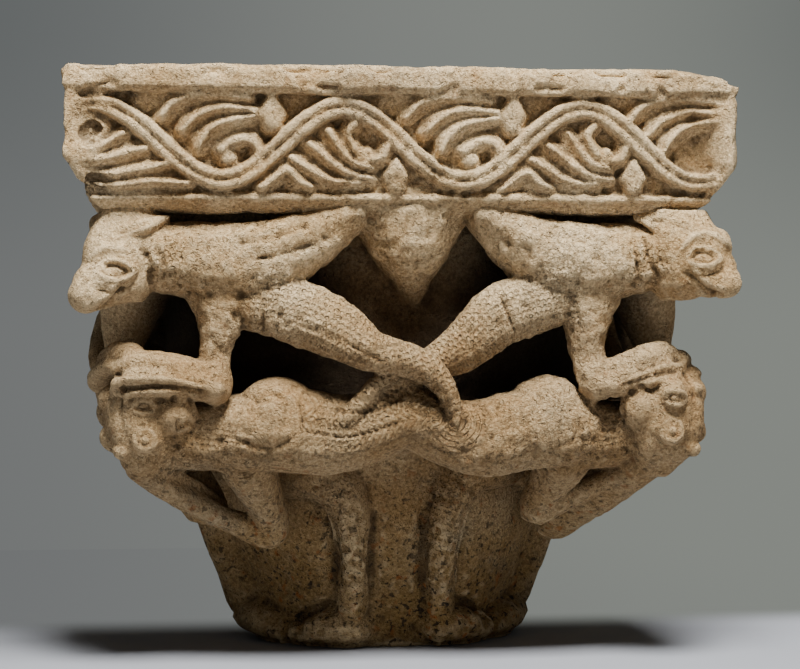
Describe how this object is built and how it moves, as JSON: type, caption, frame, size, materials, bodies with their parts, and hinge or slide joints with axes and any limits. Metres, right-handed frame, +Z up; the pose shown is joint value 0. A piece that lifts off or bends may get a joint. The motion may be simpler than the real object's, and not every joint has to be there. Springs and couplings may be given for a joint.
{
  "type": "column capital",
  "caption": "Square stone column capital with a vine-scroll abacus over two tiers of winged beasts that share corner heads, tapering to a round neck.",
  "frame": {"origin": "centre of the underside of the round neck, where the capital stands on its shaft", "axes": "+Z up, the front side faces -Y, +X to the right as seen from the front"},
  "size_m": [0.37, 0.37, 0.33],
  "materials": {
    "limestone": "weathered warm beige limestone, matt and finely pitted, browner and speckled with rust and black towards the neck, with grey patches"
  },
  "bodies": {
    "root": {"capital": "limestone"}
  },
  "joints": []
}
